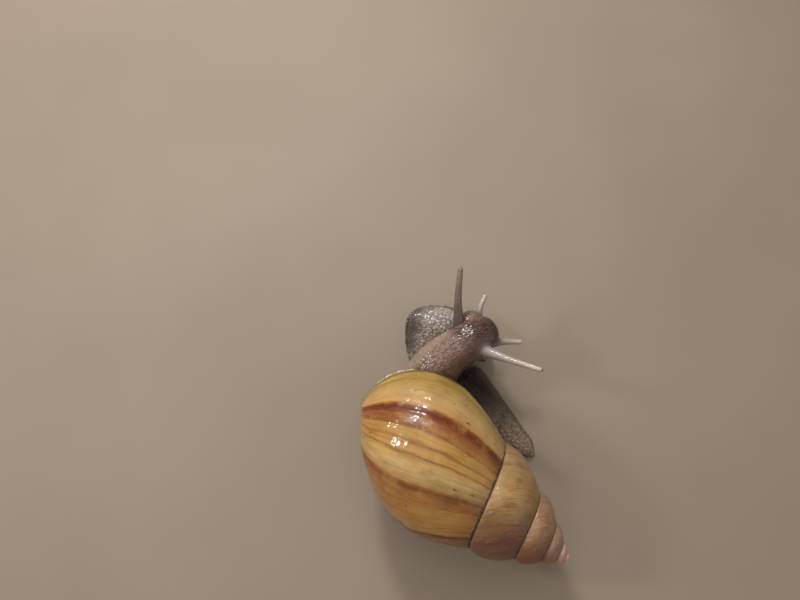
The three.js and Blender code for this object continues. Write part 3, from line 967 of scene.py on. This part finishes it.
class Nodes:
    """Builds a material's node tree in a few words. A tuple of three is a screen colour."""

    def __init__(self, name, **sockets):
        self.material = bpy.data.materials.new(name)
        self.material.use_nodes = True
        self.tree = self.material.node_tree
        self.shader = self.tree.nodes["Principled BSDF"]
        for socket, value in sockets.items():
            self.shader.inputs[socket.replace("_", " ")].default_value = value

    def add(self, kind, links=None, **settings):
        node = self.tree.nodes.new(f"ShaderNode{kind}")
        for key, value in settings.items():
            setattr(node, key, value)
        for socket, value in (links or {}).items():
            self.give(node.inputs[socket], value)
        return node.outputs[0]

    def give(self, socket, value):
        if isinstance(value, bpy.types.NodeSocket):
            self.tree.links.new(value, socket)
        else:
            socket.default_value = (*linear(value), 1) if isinstance(value, tuple) else value

    def attribute(self, name):
        return self.add("Attribute", attribute_name=name).node.outputs["Fac"]

    def place(self):
        return self.add("TexCoord").node.outputs["Object"]

    def math(self, operation, a, b=0.0, c=0.0):
        return self.add("Math", {0: a, 1: b, 2: c}, operation=operation)

    def times(self, a, b):
        return self.math("MULTIPLY", a, b)

    def wavered(self, value, noise, amount):
        """A value moved up or down by noise."""
        return self.math("ADD", value, self.math("MULTIPLY_ADD", noise, amount, -amount / 2))

    def ramp(self, fac, stops):
        """A colour ramp; each stop is a place and a colour, or a place and a grey."""
        out = self.add("ValToRGB", {"Fac": fac})
        elements = out.node.color_ramp.elements
        while len(elements) < len(stops):
            elements.new(0.5)
        for element, (place, colour) in zip(elements, stops):
            element.position = place
            rgb = linear(colour) if isinstance(colour, tuple) else [colour] * 3
            element.color = (*rgb, 1)
        return out

    def blend(self, fac, a, b, kind="MIX"):
        mixer = self.add("Mix", {0: fac, 6: a, 7: b}, data_type="RGBA", blend_type=kind)
        return mixer.node.outputs[2]

    def texture(self, vector, scale, detail=3.0, roughness=0.55):
        links = {"Vector": vector, "Scale": scale, "Detail": detail, "Roughness": roughness}
        return self.add("TexNoise", links)

    def bump(self, height, distance, strength=1.0, socket="Normal"):
        links = {"Height": height, "Distance": distance, "Strength": strength}
        self.connect(socket, self.add("Bump", links))

    def connect(self, socket, value):
        self.tree.links.new(value, self.shader.inputs[socket])


def shell_material():
    """Golden periostracum with dark streaks where growth paused, and a worn pinkish spire."""
    nodes = Nodes(
        "wet_shell", Specular_IOR_Level=0.25,
        Coat_Weight=0.5, Coat_Roughness=0.04, Coat_IOR=1.5,
    )
    line = nodes.attribute("growth")
    fall = nodes.attribute("descent")
    place = nodes.place()

    def drawn_out(around, down, detail, roughness=0.55):
        """Noise along the growth lines: so many cells round a turn, and down a whorl."""
        cells = nodes.add("CombineXYZ", {0: nodes.times(line, around), 1: nodes.times(fall, down)})
        return nodes.texture(cells, 1.0, detail, roughness)

    # A growth line wanders slowly, and its edges are a little frayed.
    warped = nodes.wavered(line, drawn_out(12, 1.5, 2), 0.016)
    warped = nodes.wavered(warped, drawn_out(90, 5, 4, 0.75), 0.009)

    # The last turn from the lip back; the ramp's end is one turn back.
    gold, cream, ochre = (182, 138, 70), (196, 164, 108), (188, 138, 74)
    brown, umber, rust = (134, 86, 38), (124, 66, 26), (122, 56, 16)
    tan, mauve = (158, 127, 88), (130, 87, 67)
    last = nodes.ramp(warped, [
        (0.0, (112, 96, 42)), (0.012, (170, 142, 58)), (0.03, (176, 144, 64)),
        (0.05, (140, 116, 50)), (0.062, (164, 134, 66)), (0.08, (176, 142, 84)),
        (0.1, (186, 154, 100)), (0.121, (192, 150, 100)), (0.129, gold), (0.134, rust),
        (0.143, (104, 44, 11)), (0.152, (134, 76, 34)), (0.17, (160, 106, 54)),
        (0.176, (120, 84, 34)), (0.18, gold), (0.195, gold), (0.198, brown), (0.202, gold),
        (0.216, ochre), (0.219, brown), (0.223, (186, 146, 82)), (0.236, cream),
        (0.262, (188, 152, 98)), (0.268, (150, 94, 44)), (0.275, umber),
        (0.286, (160, 105, 52)), (0.32, (196, 144, 78)), (0.377, (190, 139, 78)),
        (0.385, (86, 40, 18)), (0.393, (126, 76, 44)), (0.41, (152, 104, 76)),
        (1.0, tan),
    ])
    # The older turns; a place on this ramp is a quarter of the turns back, less a fifth.
    spire = nodes.ramp(nodes.math("MULTIPLY_ADD", warped, 0.25, -0.2), [
        (0.05, (165, 133, 93)), (0.08, (178, 142, 90)), (0.1, (146, 110, 68)), (0.12, mauve),
        (0.17, mauve), (0.22, tan), (0.3, (158, 120, 98)), (0.33, (166, 127, 94)),
        (0.36, (144, 101, 73)), (0.385, (132, 77, 56)), (0.43, mauve), (0.5, tan),
        (0.57, (153, 122, 106)), (0.62, (148, 106, 90)), (0.7, (168, 124, 108)),
        (0.8, (192, 162, 156)), (0.95, (208, 162, 150)), (1.0, (222, 172, 158)),
    ])
    older = nodes.ramp(line, [(0.97, 0.0), (1.0, 1.0)])
    colour = nodes.blend(older, last, spire)

    # Lighter and darker flames, many thin brown lines and a few stronger ones follow the growth.
    flame = nodes.ramp(drawn_out(30, 3, 4, 0.65), [(0.48, 0.0), (0.66, 0.5)])
    colour = nodes.blend(flame, colour, nodes.blend(older, (188, 142, 80), (112, 78, 56)))
    scratch = nodes.ramp(drawn_out(170, 5, 1), [(0.7, 0.0), (0.74, 0.45)])
    colour = nodes.blend(nodes.times(scratch, older), colour, (206, 178, 150))
    fine = drawn_out(230, 1.6, 4, 0.65)
    fine_stops = [(0.32, (190, 152, 108)), (0.5, (244, 234, 214)), (0.7, (255, 255, 255))]
    shown = nodes.ramp(line, [(0.03, 0.2), (0.13, 0.45)])
    colour = nodes.blend(shown, colour, nodes.ramp(fine, fine_stops), "MULTIPLY")
    streaks = drawn_out(62, 1.1, 1)
    streak = nodes.ramp(streaks, [(0.62, 0.0), (0.67, 0.5), (0.72, 0.1)])
    streak = nodes.times(streak, nodes.ramp(line, [(0.09, 0.2), (0.13, 1.0)]))
    colour = nodes.blend(streak, colour, (186, 120, 66), "MULTIPLY")
    dash = nodes.ramp(drawn_out(120, 9, 0), [(0.79, 0.0), (0.82, 0.8)])
    colour = nodes.blend(dash, colour, (88, 48, 16))

    # Worn blotches, painted shade along the suture and below it, a paler crimped edge above it and a
    # few specks.
    # A tint is multiplied in, so above 255 it brightens.
    blotch = nodes.texture(place, 110, 4)
    tints = [(0.34, (222, 216, 204)), (0.5, (250, 250, 246)), (0.64, (265.9, 268, 268))]
    colour = nodes.blend(0.7, colour, nodes.ramp(blotch, tints), "MULTIPLY")
    ragged = nodes.texture(place, 1100, 2)
    edge = nodes.wavered(fall, ragged, 0.06)
    # Painted shade: a dark line in the suture's crease and a broad, gentle shade below it, fading on
    # the older turns.
    shade = nodes.ramp(edge, [(0.0, 1.0), (0.018, 0.8), (0.036, 0.32), (0.12, 0.18), (0.4, 0.0)])
    shade = nodes.times(shade, nodes.ramp(nodes.times(line, 0.2), [(0.36, 1.0), (0.7, 0.25)]))
    colour = nodes.blend(shade, colour, (52, 30, 16))
    pale = nodes.times(nodes.ramp(edge, [(0.92, 0.0), (0.97, 0.15)]), older)
    colour = nodes.blend(pale, colour, (188, 160, 132))
    cells = nodes.add("TexVoronoi", {"Vector": place, "Scale": 260.0})
    rare = nodes.ramp(nodes.texture(place, 170, 2), [(0.6, 0.0), (0.63, 1.0)])
    speck = nodes.times(nodes.ramp(cells, [(0.07, 1.0), (0.1, 0.0)]), rare)
    colour = nodes.blend(speck, colour, (30, 22, 16))
    inside = nodes.ramp(nodes.math("ADD", line, 1.0), [(0.2, 1.0), (0.5, 0.0)])
    colour = nodes.blend(inside, colour, (200, 192, 178))
    nodes.connect("Base Color", colour)
    nodes.connect("Roughness", nodes.ramp(blotch, [(0.35, 0.28), (0.65, 0.5)]))
    nodes.bump(nodes.math("ADD", fine, nodes.times(ragged, 0.4)), 0.00005, 0.7)
    crossed = drawn_out(62, 11, 0)
    finer = drawn_out(190, 30, 0)
    nodes.bump(nodes.math("MULTIPLY_ADD", finer, 0.14, crossed), 0.0004, 1.0, "Coat Normal")
    return nodes.material


def skin_material():
    """Wet tubercled skin: greyish where the foot is raised, brown on the neck, dark on the head."""
    nodes = Nodes(
        "wet_skin", Coat_Roughness=0.09, Specular_IOR_Level=0.2,
        Subsurface_Weight=0.2, Subsurface_Scale=0.001, Subsurface_Radius=(1.0, 0.5, 0.3),
    )
    place = nodes.place()
    relief = nodes.attribute("relief")
    grain = nodes.texture(place, 1600)
    patch = nodes.texture(place, 190)

    def tubercled(groove, side, top):
        # Painted shade in the grooves and painted light on the tops: the colour darkens into the
        # grooves and pales on the tops.
        return nodes.ramp(relief, [(0.0, groove), (0.25, side), (0.95, top)])

    along = nodes.attribute("along")
    # The first ramp is a painted shade colour, for a feeler painted as if in shade, darkest at its
    # root.
    painted_shade_feeler = nodes.ramp(along, [(0.0, (84, 59, 50)), (0.3, (88, 70, 56)), (0.97, (124, 104, 84))])
    pale = nodes.ramp(along, [(0.0, (98, 72, 68)), (0.22, (154, 140, 138)), (0.97, (184, 170, 156))])
    feeler = nodes.blend(nodes.attribute("pale"), painted_shade_feeler, pale)
    mantle = nodes.blend(nodes.attribute("beads"), (138, 114, 92), (206, 190, 156))
    # Away from the tail the foot is near black: painted shadow of the shell and neck over the foot's
    # own dark brown; towards the tail it turns to its own grey-brown.
    colour = nodes.blend(
        nodes.attribute("tail"),
        tubercled((20, 11, 7), (28, 17, 12), (36, 23, 16)),
        tubercled((112, 95, 78), (138, 118, 99), (161, 142, 122)),
    )
    # The colour of each region and how strongly it covers those above it in this list.
    for region, strength, over in (
        ("front", 1.0, tubercled((124, 110, 101), (152, 139, 130), (188, 177, 169))),
        # Painted shade: the foot's sloping edges and front end are painted darker.
        ("rim", 0.75, (84, 69, 57)),
        ("shade", 0.42, (66, 52, 42)),
        ("neck", 1.0, tubercled((88, 60, 50), (118, 88, 75), (146, 113, 98))),
        ("head", 1.0, tubercled((44, 22, 17), (66, 36, 28), (90, 56, 46))),
        # Painted sheen on the neck's lit upper left side, and the shoulder's own greyer tone.
        ("painted_sheen_and_shoulder", 0.6, (156, 136, 118)),
        # Painted shade on the neck's lower right side.
        ("shaded_flank", 0.7, (86, 55, 45)),
        ("snout", 1.0, (60, 35, 30)),
        ("feeler", 1.0, feeler),
        ("pore", 1.0, (44, 12, 9)),
        ("mantle", 1.0, mantle),
        ("sole", 1.0, (118, 102, 88)),
    ):
        colour = nodes.blend(nodes.times(nodes.attribute(region), strength), colour, over)
    colour = nodes.blend(0.5, colour, nodes.ramp(patch, [(0.3, 0.75), (0.65, 1.12)]), "MULTIPLY")
    colour = nodes.blend(0.4, colour, nodes.ramp(grain, [(0.35, 0.8), (0.65, 1.12)]), "MULTIPLY")
    nodes.connect("Base Color", colour)
    nodes.connect("Roughness", nodes.ramp(grain, [(0.3, 0.3), (0.7, 0.5)]))
    wet = 0.0
    for region, wetness in (("neck", 1.0), ("feeler", 1.0), ("front", 0.8), ("tail", 0.5)):
        wet = nodes.math("MAXIMUM", wet, nodes.times(nodes.attribute(region), wetness))
    nodes.connect("Coat Weight", nodes.math("MULTIPLY_ADD", wet, 0.85, 0.15))
    nodes.bump(grain, 0.00006, 0.5)
    return nodes.material


def eye_material():
    nodes = Nodes("eye", Roughness=0.2, Coat_Weight=0.4, Coat_Roughness=0.05)
    depth = nodes.texture(nodes.place(), 1800, 2)
    browns = [(0.3, (38, 28, 22)), (0.7, (70, 56, 46))]
    nodes.connect("Base Color", nodes.ramp(depth, browns))
    return nodes.material


def floor_material():
    nodes = Nodes("pale_floor", Roughness=0.7)
    cloud = nodes.texture(nodes.place(), 12)
    greys = [(0.3, (140, 124, 107)), (0.7, (147, 131, 114))]
    nodes.connect("Base Color", nodes.ramp(cloud, greys))
    return nodes.material


# ---------------- the model

shell = build_shell()
shell.data.materials.append(shell_material())
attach(shell, "root")
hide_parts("shell")

skin = build_skin()
skin.data.materials.append(skin_material())
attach(skin, "root")
FLESH = [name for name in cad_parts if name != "shell" and not name.startswith("eye_")]
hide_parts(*FLESH)

eye_finish = eye_material()
for side in ("left", "right"):
    eye = build_eye(f"upper_{side}")
    eye.data.materials.append(eye_finish)
    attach(eye, "root")
    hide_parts(f"eye_{side}")

# ---------------- studio

CAMERA_TURN = math.radians(218.9)
CAMERA_RISE = math.radians(72)
CAMERA_DISTANCE = 266
LOOK_AT = np.array([66.146, -13.834, 0])
LENS = 35.1
SNAIL = np.array([30, 8, 15])  # what the lamps point at
FLOOR = 900  # half the floor's side

UP = np.array([0, 0, 1])
picture_right = np.array([math.cos(CAMERA_TURN), math.sin(CAMERA_TURN), 0])
backward = np.cross(picture_right, UP) * math.cos(CAMERA_RISE) + UP * math.sin(CAMERA_RISE)
picture_up = np.cross(backward, picture_right)


def in_row(point):
    return Vector((point + TAIL_TIP) * MM)


def aim(item, place, target):
    item.location = in_row(place)
    item.rotation_euler = (in_row(target) - in_row(place)).to_track_quat("-Z", "Y").to_euler()


camera = add_object("camera", bpy.data.cameras.new("camera"))
camera.data.lens = LENS
camera.data.clip_start = 0.01
aim(camera, LOOK_AT + CAMERA_DISTANCE * backward, LOOK_AT)
bpy.context.scene.camera = camera


def add_lamp(name, direction, distance, size, watts, colour=(1, 1, 1)):
    """A square soft lamp of a size in metres, so many millimetres from the snail.

    Its direction is given as the picture shows it: right, up and towards the camera.
    """
    data = bpy.data.lights.new(name, "AREA")
    data.size = size
    data.energy = watts
    data.color = colour
    right, up, near = direction
    towards = unit(right * picture_right + up * picture_up + near * backward)
    aim(add_object(name, data), SNAIL + towards * distance, SNAIL)


add_lamp("key", (-0.22, 0.87, 0.44), 420, 0.055, 0.7)
add_lamp("glow", (-0.22, 0.87, 0.44), 440, 0.18, 0.36)
add_lamp("window", (-0.8, 0.27, 0.54), 420, 0.05, 0.4)
add_lamp("overhead", (-0.35, 0.5, 0.9), 900, 1.2, 3.2)
add_lamp("fill", (0.9, -0.3, 0.6), 700, 0.6, 0.5, (1, 0.93, 0.85))

world = bpy.data.worlds.new("studio")
world.use_nodes = True
background = world.node_tree.nodes["Background"]
background.inputs["Color"].default_value = (1, 0.96, 0.9, 1)
background.inputs["Strength"].default_value = 0.3
bpy.context.scene.world = world
bpy.context.scene.view_settings.view_transform = "Standard"

corners = [(-FLOOR, -FLOOR, 0), (FLOOR, -FLOOR, 0), (FLOOR, FLOOR, 0), (-FLOOR, FLOOR, 0)]
floor = row_mesh("floor", corners, [(0, 1, 2, 3)])
floor.data.materials.append(floor_material())
